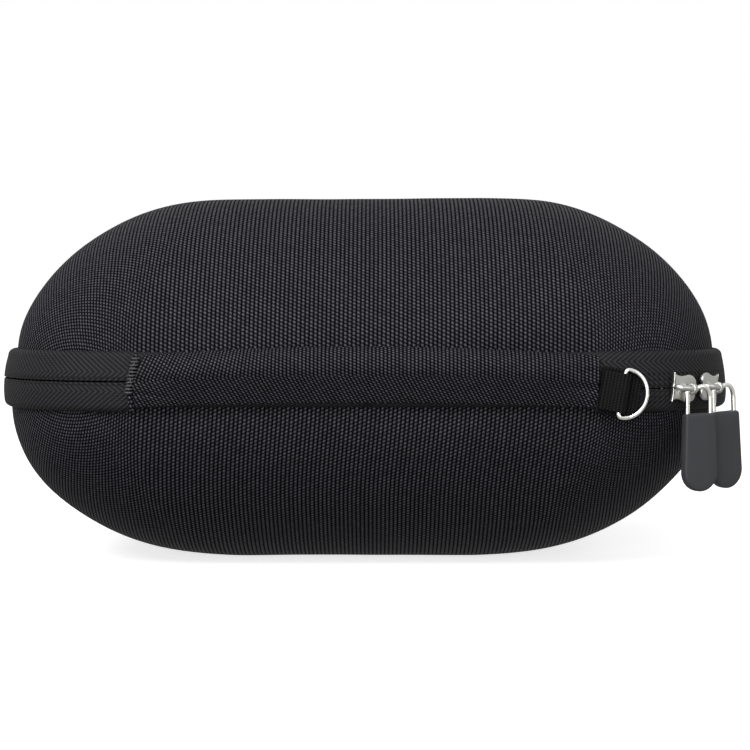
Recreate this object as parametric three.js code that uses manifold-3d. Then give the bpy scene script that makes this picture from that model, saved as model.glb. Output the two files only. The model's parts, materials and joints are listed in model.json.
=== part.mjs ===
// A moulded clamshell case for over-ear headphones.
// Millimetres, +Z up, front towards -Y, origin at the centre of the flat underside.
import * as THREE from "three";
import { mergeVertices } from "three/addons/utils/BufferGeometryUtils.js";
import Module from "manifold-3d";

const wasm = await Module();
wasm.setup();

// ---- Driving dimensions ----

// The zip band is the widest part of the case: a rounded rectangle in plan.
const WIDTH = 224;
const DEPTH = 190;
const CORNER_RADIUS = 44;
const BAND_HALF_HEIGHT = 8.9;
const GAP = 0.3; // clearance between neighbouring pieces

// Each moulded half: an upright wall, a superelliptic shoulder and a low crown.
// proud is how far the band stands out from the wall, and lean how far the band's edge tips in.
const HALVES = {
  base: { side: -1, height: 58.5, proud: 2.6, shoulderInset: 56, lean: 0 },
  lid: { side: 1, height: 56.5, proud: 4.1, shoulderInset: 54, lean: 1.2 },
};
const SEAM_Z = HALVES.base.height;
const WALL_TOP = 8; // above the seam, where the shoulder starts
const SHOULDER_POWER = 1.73;
const CROWN_RISE = 0.5;
const CROWN_SCALE = 0.6;
const CORNER_SHARPENING = 0.35; // corner radius lost per millimetre of shoulder inset
const RIM_HEIGHT = 7.2; // shell rims stop short of the seam, leaving room for the zip
const SKIN_THICKNESS = 0.8;
const CORE_THICKNESS = 3.3;
const LINING_THICKNESS = 0.8;
const BINDING_THICKNESS = 0.7;
const LAYERS = SKIN_THICKNESS + CORE_THICKNESS + LINING_THICKNESS + 2 * GAP;

// Zip tapes and coils.
const TAPE_THICKNESS = 1.3;
const SMALL_CHAMFER = 0.3;
const EDGE_CHAMFER = 0.9;
const SLIT_HALF = 0.65;
const SEAM_SAG = 2.1; // the zip line sags at the front right, where the pulls hang
const SAG_SPREAD = 0.6; // share of the front's straight half length over which it drops
const COIL_INSET = TAPE_THICKNESS + 2 * GAP;
const COIL_THICKNESS = 1;
const COIL_HEIGHT = 1.95;
const SPINE_HALF_LENGTH = 56;

// Padded strap handle across the front.
const STRAP_HALF_LENGTH = 66.8;
const STRAP_HALF_HEIGHT = 7.8;
const STRAP_THICKNESS = 4.4;
const STRAP_END_THICKNESS = 2.4;
const STRAP_END_TAPER = 14;
const STRAP_CENTRE_Z = SEAM_Z - 0.9; // at its left end
const STRAP_TILT = 1.7; // how much higher the right end sits
const STRAP_BOW = 1.8; // extra height at mid length
const STRAP_BACK_Y = -DEPTH / 2 - 0.6;
const COVER_WALL = 0.8;
const PADDING_HALF_LENGTH = 58;
// The roll beside the strap's left end: heights from the seam and widths from the strap's end.
const ANCHOR = { foot: -8, waist: -2.5, head: 4, footWidth: 0.8, waistWidth: 1.9, headWidth: 0.5 };
const ANCHOR_THICKNESS = 1.6;

// D-ring and the webbing loop that holds it.
const RING_TILT = THREE.MathUtils.degToRad(10);
const RING_CENTRE = new THREE.Vector3(74.3, -DEPTH / 2 - 2.5, SEAM_Z - 3.1);
const RING_WIRE_RADIUS = 0.65;
const RING_ARC_RADIUS = 6.7;
const RING_FILLET = 1.2;
const LOOP = { halfHeight: 5.7, bore: 1.15, outer: 2.05, tail: -6.2, tailThickness: 0.8 };
const PATCH = { halfHeight: 6.9, thickness: 0.9, from: -6.5, to: 5.9 }; // sewn to the band

// Zip sliders on the front right corner, and their pulls.
const SLIDER_ANGLES = { left: 34.5, right: 49.5 }; // degrees round the corner from the front
const PULL_TWISTS = { left: 10, right: 18 }; // degrees, how far each pull turns on its barrel
const PULL_TILTS = { left: 1, right: 2.5 }; // degrees, how far each pull hangs off plumb
const SLIDER_HALF_LENGTH = 4.6;
const SLIDER_HALF_HEIGHT = 4.3;
const PLATE_THICKNESS = 1.3;
const BACK_PLATE = { length: 8.6, thickness: 1, height: 7, reach: 40.3 };
const POST = { length: 2, height: 0.7, offset: 2.6 };
const BARREL = { from: 0.9, length: 1.3, radius: 1.75, bore: 1.15 };
const WIRE_RADIUS = 0.75;
const WIRE_HALF_WIDTH = 3.95;
const WIRE_OFFSET = 3.6; // the wire loop hangs to one side of the barrel
const WIRE_BENDS = { left: 1.2, right: 3.2 };
const TAB = { width: 11.4, topWidth: 10.4, length: 23, thickness: 3.2, top: -7.4, cornerRadius: 1 };
const SOCKET_DEPTH = 4.3;
const PLATE_FACE = CORNER_RADIUS + 0.4 + PLATE_THICKNESS;
const PULL_AXIS = PLATE_FACE + 3 * GAP + WIRE_RADIUS;
const BARREL_MIDDLE = BARREL.from + BARREL.length / 2;

// Mesh pocket inside the lid.
const POCKET_HEIGHT = 33; // above the seam
const POCKET_THICKNESS = 0.8;
const POCKET_EDGE_Y = -10;
const ELASTIC_WIDTH = 6;
const ELASTIC_THICKNESS = 1.6;
const POCKET_TOP = POCKET_HEIGHT + ELASTIC_THICKNESS;

// ---- Materials ----

function material(color, roughness, metalness = 0) {
  return () => new THREE.MeshStandardMaterial({ color, roughness, metalness });
}

const ballistic = material(0x2b2a2e, 0.75);
const foam = material(0x1c1c1d, 0.9);
const velour = material(0x222226, 0.95);
const webbing = material(0x1e1e20, 0.8);
const tape = material(0x26262a, 0.8);
const nylon = material(0x151516, 0.5);
const netting = material(0x1a1a1c, 0.85);
const silver = material(0xc9c7c1, 0.3, 1);
const rubber = material(0x434347, 0.6);

// ---- Solids ----

const part = new THREE.Group();

function add(name, geometry, makeMaterial, parent = part) {
  const mesh = new THREE.Mesh(geometry, makeMaterial());
  mesh.name = name;
  parent.add(mesh);
}

// A closed mesh from points and triangles, turned so that its faces point out.
function solid(points, triangles) {
  let volume = 0;
  for (const [a, b, c] of triangles) {
    volume += points[a].dot(new THREE.Vector3().crossVectors(points[b], points[c]));
  }
  const outward = volume < 0 ? triangles.map(([a, b, c]) => [a, c, b]) : triangles;
  const geometry = new THREE.BufferGeometry().setFromPoints(points);
  geometry.setIndex(outward.flat());
  geometry.computeVertexNormals();
  return geometry;
}

// Skins a row of rings with equal point counts. "ring" joins the last ring to the first,
// "cap" closes both ends with a fan around the end ring's middle.
function loft(rings, ends) {
  const count = rings[0].length;
  const points = rings.flat();
  const triangles = [];
  const spans = ends === "ring" ? rings.length : rings.length - 1;
  for (let i = 0; i < spans; i++) {
    const here = i * count;
    const next = ((i + 1) % rings.length) * count;
    for (let j = 0; j < count; j++) {
      const k = (j + 1) % count;
      triangles.push([here + j, here + k, next + k], [here + j, next + k, next + j]);
    }
  }
  if (ends === "cap") {
    for (const [ring, start, turn] of [
      [rings[0], 0, 1],
      [rings.at(-1), (rings.length - 1) * count, -1],
    ]) {
      const middle = new THREE.Vector3();
      ring.forEach((p) => middle.addScaledVector(p, 1 / count));
      points.push(middle);
      for (let j = 0; j < count; j++) {
        const edge = [start + ((j + 1) % count), start + j];
        triangles.push([points.length - 1, ...(turn > 0 ? edge : edge.reverse())]);
      }
    }
  }
  return solid(points, triangles);
}

// A round wire along a row of points that lie in one plane with the given normal.
function wire(path, radius, normal, closed) {
  const sides = 8;
  const rings = path.map((point, i) => {
    const before = closed ? path.at(i - 1) : path[Math.max(i - 1, 0)];
    const after = closed ? path[(i + 1) % path.length] : path[Math.min(i + 1, path.length - 1)];
    const along = new THREE.Vector3().subVectors(after, before).normalize();
    const across = new THREE.Vector3().crossVectors(along, normal);
    return Array.from({ length: sides }, (_, k) => {
      const angle = (2 * Math.PI * k) / sides;
      return point
        .clone()
        .addScaledVector(across, radius * Math.cos(angle))
        .addScaledVector(normal, radius * Math.sin(angle));
    });
  });
  return loft(rings, closed ? "ring" : "cap");
}

function arcPoints(x, z, radius, from, to, steps) {
  return Array.from({ length: steps + 1 }, (_, i) => {
    const angle = THREE.MathUtils.degToRad(from + ((to - from) * i) / steps);
    return new THREE.Vector3(x + radius * Math.cos(angle), 0, z + radius * Math.sin(angle));
  });
}

// A three.js geometry as a manifold-3d solid, and back.
function toManifold(geometry) {
  const bare = geometry.clone();
  bare.deleteAttribute("normal");
  bare.deleteAttribute("uv");
  const merged = mergeVertices(bare, 1e-4);
  return new wasm.Manifold(
    new wasm.Mesh({
      numProp: 3,
      vertProperties: merged.attributes.position.array,
      triVerts: new Uint32Array(merged.index.array),
    }),
  );
}

function fromManifold(body) {
  const mesh = body.getMesh();
  const geometry = new THREE.BufferGeometry();
  geometry.setAttribute("position", new THREE.BufferAttribute(mesh.vertProperties, 3));
  geometry.setIndex(new THREE.BufferAttribute(mesh.triVerts, 1));
  geometry.computeVertexNormals();
  return geometry;
}

function union(geometries) {
  return fromManifold(geometries.map(toManifold).reduce((a, b) => a.add(b)));
}

// Extrudes a shape drawn in X and Z along +Y, by depth, starting at y.
function extrudeAlongY(shape, y, depth, options = {}) {
  const geometry = new THREE.ExtrudeGeometry(shape, { bevelEnabled: false, depth, ...options });
  return geometry.rotateX(Math.PI / 2).translate(0, y + depth, 0);
}

// ---- Plan of the case ----

// Stations run anticlockwise from the middle of the back. Each has the place of its arc centre,
// as shares u and v of the plan's straight half lengths, and the angle of its outward normal.
function planStations(cornerSteps, frontShares, backShares) {
  const corner = (u, v, from) =>
    Array.from({ length: cornerSteps + 1 }, (_, i) => ({ u, v, angle: from + (90 * i) / cornerSteps }));
  return [
    { u: 0, v: 1, angle: 90 },
    ...backShares.map((u) => ({ u: -u, v: 1, angle: 90 })),
    ...corner(-1, 1, 90),
    { u: -1, v: 0, angle: 180 },
    ...corner(-1, -1, 180),
    ...frontShares.map((u) => ({ u, v: -1, angle: 270 })),
    ...corner(1, -1, 270),
    { u: 1, v: 0, angle: 0 },
    ...corner(1, 1, 0),
    ...backShares.toReversed().map((u) => ({ u, v: 1, angle: 90 })),
  ];
}

const SPINE_SHARE = SPINE_HALF_LENGTH / (WIDTH / 2 - CORNER_RADIUS);
const ZIP_SHARE = (SPINE_HALF_LENGTH + 2 * GAP) / (WIDTH / 2 - CORNER_RADIUS);
const SHELL_STATIONS = planStations(4, [0], []);
const BAND_STATIONS = planStations(7, [-0.5, 0, 0.5], [SPINE_SHARE, ZIP_SHARE]);

// The point of a station on the plan that is drawn in by a shoulder inset and an even offset.
function planPoint(station, z, offset, inset = 0) {
  const radius = CORNER_RADIUS - CORNER_SHARPENING * inset;
  const angle = THREE.MathUtils.degToRad(station.angle);
  return new THREE.Vector3(
    station.u * (WIDTH / 2 - inset - radius) + Math.cos(angle) * (radius - offset),
    station.v * (DEPTH / 2 - inset - radius) + Math.sin(angle) * (radius - offset),
    z,
  );
}

// How far the zip line hangs below the seam plane at a station.
function sagAt(station) {
  if (station.v === -1) return SEAM_SAG * THREE.MathUtils.smoothstep(station.u, -SAG_SPREAD, SAG_SPREAD);
  if (station.u === 1) return (SEAM_SAG * (1 - station.v)) / 2;
  return 0;
}

// ---- Moulded shell layers ----

// A half's profile at a depth below the outer surface: plan offset, shoulder inset and height.
function shellProfile(half, depth) {
  const steps = 6;
  const nudge = 0.01;
  const rise = half.height - WALL_TOP - CROWN_RISE;
  const at = (angle) => ({
    inset: half.shoulderInset * (1 - Math.cos(angle) ** (2 / SHOULDER_POWER)),
    height: WALL_TOP + rise * Math.sin(angle) ** (2 / SHOULDER_POWER),
  });
  const profile = [{ offset: half.proud + depth, inset: 0, height: RIM_HEIGHT }];
  for (let i = 1; i <= steps; i++) {
    const angle = ((Math.PI / 2) * i) / steps;
    const before = at(angle - nudge);
    const after = at(Math.min(angle + nudge, Math.PI / 2));
    const normal = new THREE.Vector2(after.height - before.height, after.inset - before.inset);
    normal.normalize();
    const here = at(angle);
    profile.push({
      offset: half.proud + depth * normal.x,
      inset: here.inset,
      height: here.height - depth * normal.y,
    });
  }
  return profile;
}

// One layer of a shell half, between two depths.
function shellLayer(half, outerDepth, thickness) {
  const ringsOf = (depth) => {
    const rings = shellProfile(half, depth).map(({ offset, inset, height }) =>
      SHELL_STATIONS.map((station) => planPoint(station, SEAM_Z + half.side * height, offset, inset)),
    );
    const top = SEAM_Z + half.side * (half.height - depth);
    rings.push(rings.at(-1).map((p) => new THREE.Vector3(p.x * CROWN_SCALE, p.y * CROWN_SCALE, top)));
    return rings;
  };
  const outer = ringsOf(outerDepth);
  const inner = ringsOf(outerDepth + thickness);
  return loft([...outer.reverse(), ...inner], "cap");
}

// ---- Bands that follow the rim ----

// Sweeps a section around the plan. A section point has an inset from the band's outer face and a
// height above the seam; points with slit: true follow the sagging zip line.
function band(side, section, stations, closed) {
  const place = (station, { inset, height, slit }) => {
    const sag = slit ? sagAt(station) : 0;
    return planPoint(station, SEAM_Z - sag + side * height, inset);
  };
  if (closed) return loft(section.map((p) => stations.map((s) => place(s, p))), "ring");
  return loft(stations.map((s) => section.map((p) => place(s, p))), "cap");
}

// An L-shaped section: a leaning face and a flange that turns in to the shell wall.
function tapeSection(half, edge) {
  const flange = half.proud - GAP;
  const top = BAND_HALF_HEIGHT;
  const under = top - TAPE_THICKNESS;
  return [
    { inset: SMALL_CHAMFER, height: edge, slit: true },
    { inset: 0, height: edge + SMALL_CHAMFER, slit: true },
    { inset: half.lean, height: top - EDGE_CHAMFER },
    { inset: half.lean + EDGE_CHAMFER, height: top },
    { inset: flange, height: top },
    { inset: flange, height: under },
    { inset: half.lean + TAPE_THICKNESS, height: under },
    { inset: TAPE_THICKNESS, height: edge, slit: true },
  ];
}

function coilSection() {
  const inner = COIL_INSET + COIL_THICKNESS;
  const top = SLIT_HALF + COIL_HEIGHT;
  return [
    { inset: COIL_INSET, height: SLIT_HALF, slit: true },
    { inset: COIL_INSET, height: top, slit: true },
    { inset: inner, height: top, slit: true },
    { inset: inner, height: SLIT_HALF, slit: true },
  ];
}

// A flat cap over the edges of the skin, core and lining.
function bindingSection(half) {
  const inner = half.proud + LAYERS;
  const top = RIM_HEIGHT - GAP;
  return [
    { inset: half.proud, height: top },
    { inset: inner, height: top },
    { inset: inner - SMALL_CHAMFER, height: top - BINDING_THICKNESS },
    { inset: half.proud + SMALL_CHAMFER, height: top - BINDING_THICKNESS },
  ];
}

function buildHalf(prefix) {
  const half = HALVES[prefix];
  const coreDepth = SKIN_THICKNESS + GAP;
  const liningDepth = coreDepth + CORE_THICKNESS + GAP;
  const back = [BAND_STATIONS.at(-1), ...BAND_STATIONS.slice(0, 2)];
  const zipped = BAND_STATIONS.slice(2, -1);
  add(`${prefix}_skin`, shellLayer(half, 0, SKIN_THICKNESS), ballistic);
  add(`${prefix}_core`, shellLayer(half, coreDepth, CORE_THICKNESS), foam);
  add(`${prefix}_lining`, shellLayer(half, liningDepth, LINING_THICKNESS), velour);
  add(`${prefix}_rim_binding`, band(half.side, bindingSection(half), SHELL_STATIONS, true), webbing);
  add(`${prefix}_zip_tape`, band(half.side, tapeSection(half, SLIT_HALF), zipped, false), tape);
  add(`${prefix}_zip_coil`, band(half.side, coilSection(), zipped, false), nylon);
  add(`${prefix}_spine_strip`, band(half.side, tapeSection(half, GAP), back, false), ballistic);
}

// ---- Strap handle ----

function strapThickness(x) {
  const from = STRAP_HALF_LENGTH - STRAP_END_TAPER;
  const flattening = THREE.MathUtils.smoothstep(Math.abs(x), from, STRAP_HALF_LENGTH);
  return THREE.MathUtils.lerp(STRAP_THICKNESS, STRAP_END_THICKNESS, flattening);
}

// A D-shaped section of the strap, drawn in from its outer surface by a margin.
function strapSection(x, margin) {
  const steps = 8;
  const fullness = 0.8; // below 1 the section is squarer than an ellipse
  const share = x / STRAP_HALF_LENGTH;
  const centre = STRAP_CENTRE_Z + (STRAP_TILT * (1 + share)) / 2 + STRAP_BOW * (1 - share ** 2);
  const thickness = strapThickness(x) - 2 * margin;
  const halfHeight = STRAP_HALF_HEIGHT - 1.4 * margin;
  return Array.from({ length: steps + 1 }, (_, i) => {
    const angle = Math.PI * (i / steps - 0.5);
    const bulge = thickness * Math.cos(angle) ** fullness;
    const y = STRAP_BACK_Y - margin - bulge;
    return new THREE.Vector3(x, y, centre + halfHeight * Math.sin(angle));
  });
}

function strapRings(halfLength, margin) {
  const steps = 14;
  return Array.from({ length: steps + 1 }, (_, i) =>
    strapSection(halfLength * ((2 * i) / steps - 1), margin),
  );
}

function buildHandle() {
  const outer = strapRings(STRAP_HALF_LENGTH, 0);
  const inner = strapRings(STRAP_HALF_LENGTH, COVER_WALL);
  add("handle_cover", loft([...outer, ...inner.reverse()], "ring"), ballistic);
  add("handle_padding", loft(strapRings(PADDING_HALF_LENGTH, COVER_WALL + GAP), "cap"), foam);
}

// A sewn roll of cloth that ties the strap's left end to the band.
function buildHandleAnchor() {
  const inner = -STRAP_HALF_LENGTH - GAP;
  const shape = new THREE.Shape([
    new THREE.Vector2(inner, SEAM_Z + ANCHOR.foot),
    new THREE.Vector2(inner, SEAM_Z + ANCHOR.head),
    new THREE.Vector2(inner - ANCHOR.headWidth, SEAM_Z + ANCHOR.head),
    new THREE.Vector2(inner - ANCHOR.waistWidth, SEAM_Z + ANCHOR.waist),
    new THREE.Vector2(inner - ANCHOR.footWidth, SEAM_Z + ANCHOR.foot),
  ]);
  const front = -DEPTH / 2 - GAP - ANCHOR_THICKNESS;
  add("handle_anchor_left", extrudeAlongY(shape, front, ANCHOR_THICKNESS), ballistic);
}

// ---- D-ring ----

// Both pieces are drawn about the ring's bar, which stands along local Z.
function buildRing() {
  const group = new THREE.Group();
  group.position.copy(RING_CENTRE);
  group.rotation.y = RING_TILT;
  part.add(group);

  const normal = new THREE.Vector3(0, 1, 0);
  const straight = RING_ARC_RADIUS - RING_FILLET;
  const path = [
    ...arcPoints(RING_FILLET, 0, RING_ARC_RADIUS, -90, 90, 14),
    ...arcPoints(RING_FILLET, straight, RING_FILLET, 90, 180, 3).slice(1),
    ...arcPoints(RING_FILLET, -straight, RING_FILLET, 180, 270, 3).slice(0, -1),
  ];
  add("d_ring", wire(path, RING_WIRE_RADIUS, normal, true), silver, group);
  add("d_ring_loop", ringLoop(), webbing, group);
}

// Webbing sewn to the band and folded over the ring's bar.
function ringLoop() {
  const back = -RING_CENTRE.y - DEPTH / 2 - GAP;
  const front = back - PATCH.thickness;
  const patch = new THREE.BoxGeometry(PATCH.to - PATCH.from, PATCH.thickness, 2 * PATCH.halfHeight);
  patch.translate((PATCH.to + PATCH.from) / 2, (front + back) / 2, 0);

  const sunk = (front + back) / 2;
  const shape = new THREE.Shape();
  shape.moveTo(LOOP.tail, sunk);
  shape.lineTo(LOOP.tail, front - LOOP.tailThickness);
  shape.lineTo(-LOOP.outer, -LOOP.outer * 0.55);
  shape.absarc(0, 0, LOOP.outer, Math.PI * 1.2, Math.PI * 2, false);
  shape.lineTo(LOOP.outer, sunk);
  shape.closePath();
  const hole = new THREE.Path();
  hole.absarc(0, 0, LOOP.bore, 0, Math.PI * 2, true);
  shape.holes.push(hole);
  const depth = 2 * LOOP.halfHeight;
  const fold = new THREE.ExtrudeGeometry(shape, { depth, bevelEnabled: false, curveSegments: 8 });
  fold.translate(0, 0, -LOOP.halfHeight);
  return union([patch, fold]);
}

// ---- Zip sliders and pulls ----

// The front plate's outline in X and Z. turn is 1 when the rounded nose points to +X.
function sliderOutline(turn) {
  const l = SLIDER_HALF_LENGTH;
  const h = SLIDER_HALF_HEIGHT;
  const shape = new THREE.Shape();
  shape.moveTo(-l * turn, -h);
  shape.quadraticCurveTo((0.7 - l) * turn, 0, -l * turn, h);
  shape.bezierCurveTo((2 - l) * turn, h - 0.9, -0.6 * turn, h - 1, 0.8 * turn, h - 0.3);
  shape.bezierCurveTo(2.6 * turn, h + 0.2, l * turn, h - 1.2, l * turn, h - 2.4);
  shape.quadraticCurveTo(l * turn, 0.9, (l - 1.1) * turn, 0);
  shape.quadraticCurveTo(l * turn, -0.9, l * turn, 2.4 - h);
  shape.bezierCurveTo(l * turn, 1.2 - h, 2.6 * turn, -h - 0.2, 0.8 * turn, 0.3 - h);
  shape.bezierCurveTo(-0.6 * turn, 1 - h, (2 - l) * turn, 0.9 - h, -l * turn, -h);
  return shape;
}

// The slider is drawn about the corner's centre, facing -Y.
function sliderGeometry(turn) {
  const front = extrudeAlongY(sliderOutline(turn), -PLATE_FACE, PLATE_THICKNESS, { curveSegments: 5 });
  const back = new THREE.BoxGeometry(BACK_PLATE.length, BACK_PLATE.thickness, BACK_PLATE.height);
  back.translate(0, -BACK_PLATE.reach + BACK_PLATE.thickness / 2, 0);
  const postDepth = PLATE_FACE - BACK_PLATE.reach;
  const post = new THREE.BoxGeometry(POST.length, postDepth, POST.height);
  post.translate(POST.offset * turn, -BACK_PLATE.reach - postDepth / 2 + 0.5, 0);

  const arch = new THREE.Shape();
  const foot = PLATE_FACE - 0.2;
  arch.moveTo(foot, -BARREL.radius);
  arch.lineTo(PULL_AXIS, -BARREL.radius);
  arch.absarc(PULL_AXIS, 0, BARREL.radius, -Math.PI / 2, Math.PI / 2, false);
  arch.lineTo(foot, BARREL.radius);
  arch.closePath();
  const bore = new THREE.Path();
  bore.absarc(PULL_AXIS, 0, BARREL.bore, 0, Math.PI * 2, true);
  arch.holes.push(bore);
  const bridge = new THREE.ExtrudeGeometry(arch, {
    depth: BARREL.length,
    bevelEnabled: false,
    curveSegments: 8,
  });
  const toFront = new THREE.Matrix4().makeBasis(
    new THREE.Vector3(0, -1, 0),
    new THREE.Vector3(0, 0, 1),
    new THREE.Vector3(-1, 0, 0),
  );
  bridge.applyMatrix4(toFront).translate(BARREL.from + BARREL.length, 0, 0);
  return union([front, back, post, bridge]);
}

// A wire loop whose top bar runs through the barrel, open at the bottom.
function pullWire() {
  const left = WIRE_OFFSET - WIRE_HALF_WIDTH;
  const right = WIRE_OFFSET + WIRE_HALF_WIDTH;
  const foot = TAB.top - SOCKET_DEPTH + GAP;
  const path = [
    new THREE.Vector3(left, 0, foot),
    ...arcPoints(left + WIRE_BENDS.left, -WIRE_BENDS.left, WIRE_BENDS.left, 180, 90, 3),
    ...arcPoints(right - WIRE_BENDS.right, -WIRE_BENDS.right, WIRE_BENDS.right, 90, 0, 5),
    new THREE.Vector3(right, 0, foot),
  ];
  return wire(path, WIRE_RADIUS, new THREE.Vector3(0, 1, 0), false);
}

// A moulded tab with a flat top and a round end, and two sockets for the wire's legs.
function pullTab() {
  const bevel = 0.6;
  const half = TAB.width / 2 - bevel;
  const topHalf = TAB.topWidth / 2 - bevel;
  const top = TAB.top - bevel;
  const end = TAB.top - TAB.length + TAB.width / 2;
  const shape = new THREE.Shape();
  shape.moveTo(-half, end);
  shape.lineTo(-topHalf, top - TAB.cornerRadius);
  shape.quadraticCurveTo(-topHalf, top, TAB.cornerRadius - topHalf, top);
  shape.lineTo(topHalf - TAB.cornerRadius, top);
  shape.quadraticCurveTo(topHalf, top, topHalf, top - TAB.cornerRadius);
  shape.lineTo(half, end);
  shape.absarc(0, end, half, 0, -Math.PI, true);
  const depth = TAB.thickness - 2 * bevel;
  const body = extrudeAlongY(shape, -depth / 2, depth, {
    bevelEnabled: true,
    bevelSize: bevel,
    bevelThickness: bevel,
    bevelSegments: 1,
    curveSegments: 7,
  });
  body.translate(WIRE_OFFSET, 0, 0);
  const sockets = [-1, 1].map((side) => {
    const socket = new THREE.CylinderGeometry(WIRE_RADIUS + GAP, WIRE_RADIUS + GAP, 2 * SOCKET_DEPTH, 8);
    return socket.rotateX(Math.PI / 2).translate(WIRE_OFFSET + side * WIRE_HALF_WIDTH, 0, TAB.top);
  });
  return fromManifold(sockets.reduce((rest, s) => rest.subtract(toManifold(s)), toManifold(body)));
}

function buildSlider(name, turn) {
  const group = new THREE.Group();
  group.position.set(WIDTH / 2 - CORNER_RADIUS, CORNER_RADIUS - DEPTH / 2, SEAM_Z - SEAM_SAG);
  group.rotation.z = THREE.MathUtils.degToRad(SLIDER_ANGLES[name]);
  part.add(group);
  add(`slider_${name}`, sliderGeometry(turn), silver, group);

  const pull = new THREE.Group();
  const tilt = THREE.MathUtils.degToRad(PULL_TILTS[name]);
  const twist = THREE.MathUtils.degToRad(PULL_TWISTS[name]);
  pull.rotation.set(0, -tilt, -twist, "ZYX");
  pull.position.set(-BARREL_MIDDLE, 0, 0).applyEuler(pull.rotation);
  pull.position.add(new THREE.Vector3(BARREL_MIDDLE, -PULL_AXIS, 0));
  group.add(pull);
  add(`pull_${name}_wire`, pullWire(), silver, pull);
  add(`pull_${name}_tab`, pullTab(), rubber, pull);
}

// ---- Lid pocket ----

// A flat net across the back of the lid, open along a gathered front edge.
function buildPocket() {
  const { offset, inset } = shellProfile(HALVES.lid, LAYERS).find((p) => p.height > POCKET_TOP);
  const middle = SHELL_STATIONS.findIndex((s) => s.u === 1 && s.v === 0);
  const round = [...SHELL_STATIONS.slice(middle + 1), ...SHELL_STATIONS];
  const back = round
    .slice(0, round.findIndex((s) => s.u === -1 && s.v === 0))
    .map((s) => planPoint(s, 0, offset + GAP, inset));
  const half = back[0].x;
  const shape = new THREE.Shape([
    new THREE.Vector2(half, POCKET_EDGE_Y),
    ...back.map((p) => new THREE.Vector2(p.x, p.y)),
    new THREE.Vector2(-half, POCKET_EDGE_Y),
  ]);
  const net = new THREE.ExtrudeGeometry(shape, { depth: POCKET_THICKNESS, bevelEnabled: false });
  net.translate(0, 0, SEAM_Z + POCKET_HEIGHT);
  add("lid_mesh_pocket", net, netting);

  const elastic = new THREE.BoxGeometry(2 * half, ELASTIC_WIDTH, ELASTIC_THICKNESS);
  elastic.translate(0, POCKET_EDGE_Y - GAP - ELASTIC_WIDTH / 2, SEAM_Z + POCKET_HEIGHT);
  add("lid_pocket_elastic", elastic, webbing);
}

buildHalf("base");
buildHalf("lid");
buildPocket();
buildHandle();
buildHandleAnchor();
buildRing();
buildSlider("left", 1);
buildSlider("right", -1);

export default part;
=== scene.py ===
"""The looks of a zipped clamshell headphone case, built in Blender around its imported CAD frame.

Shapes are worked out in millimetres, +Z up, front towards -Y, and turned into metres when a mesh is made.
"""
import json
import math
from functools import partialmethod

import bmesh
import bpy
import numpy as np
from mathutils import Matrix, Vector, noise


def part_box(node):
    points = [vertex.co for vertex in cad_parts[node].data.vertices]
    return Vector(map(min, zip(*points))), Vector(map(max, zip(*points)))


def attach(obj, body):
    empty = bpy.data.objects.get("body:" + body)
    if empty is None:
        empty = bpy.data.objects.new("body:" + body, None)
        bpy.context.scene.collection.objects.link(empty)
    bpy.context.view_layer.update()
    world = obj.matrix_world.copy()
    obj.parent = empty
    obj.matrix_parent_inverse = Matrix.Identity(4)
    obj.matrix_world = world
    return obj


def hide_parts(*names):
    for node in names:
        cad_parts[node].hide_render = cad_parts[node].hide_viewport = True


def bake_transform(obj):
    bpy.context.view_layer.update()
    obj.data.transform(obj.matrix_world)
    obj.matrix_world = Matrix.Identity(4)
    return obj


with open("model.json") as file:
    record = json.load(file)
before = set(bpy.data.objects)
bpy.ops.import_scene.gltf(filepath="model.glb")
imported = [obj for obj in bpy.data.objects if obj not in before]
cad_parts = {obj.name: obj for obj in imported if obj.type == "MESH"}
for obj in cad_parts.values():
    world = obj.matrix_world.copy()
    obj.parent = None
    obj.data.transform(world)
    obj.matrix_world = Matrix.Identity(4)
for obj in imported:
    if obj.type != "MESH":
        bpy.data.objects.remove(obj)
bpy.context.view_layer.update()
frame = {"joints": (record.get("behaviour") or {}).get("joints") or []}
MM = 0.001


def cad_box(node):
    """Lowest and highest corner of a CAD node, in millimetres."""
    lo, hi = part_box(node)
    return lo / MM, hi / MM


def joint_place(name):
    """Where a hinge's axis passes, in millimetres."""
    joint = next(j for j in frame["joints"] if j["name"] == name)
    return Vector(joint["pos_m"]) / MM


# ---- Dimensions ----

TAPE_HI = cad_box("lid_zip_tape")[1]
LID_LO, LID_HI = cad_box("lid_skin")
BASE_LO, BASE_HI = cad_box("base_skin")
SPINE_HI = cad_box("lid_spine_strip")[1]
STRAP_LO, STRAP_HI = cad_box("handle_cover")
PADDING_HI = cad_box("handle_padding")[1]
NET_LO, NET_HI = cad_box("lid_mesh_pocket")
ELASTIC_LO, ELASTIC_HI = cad_box("lid_pocket_elastic")

# The zip band is the widest part of the case: a rounded rectangle in plan.
HALF_WIDTH = TAPE_HI.x
HALF_DEPTH = TAPE_HI.y
SEAM_Z = (LID_LO.z + BASE_HI.z) / 2
BAND_HALF_HEIGHT = TAPE_HI.z - SEAM_Z
RIM_HEIGHT = LID_LO.z - SEAM_Z
CORNER_RADIUS = 44

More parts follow.
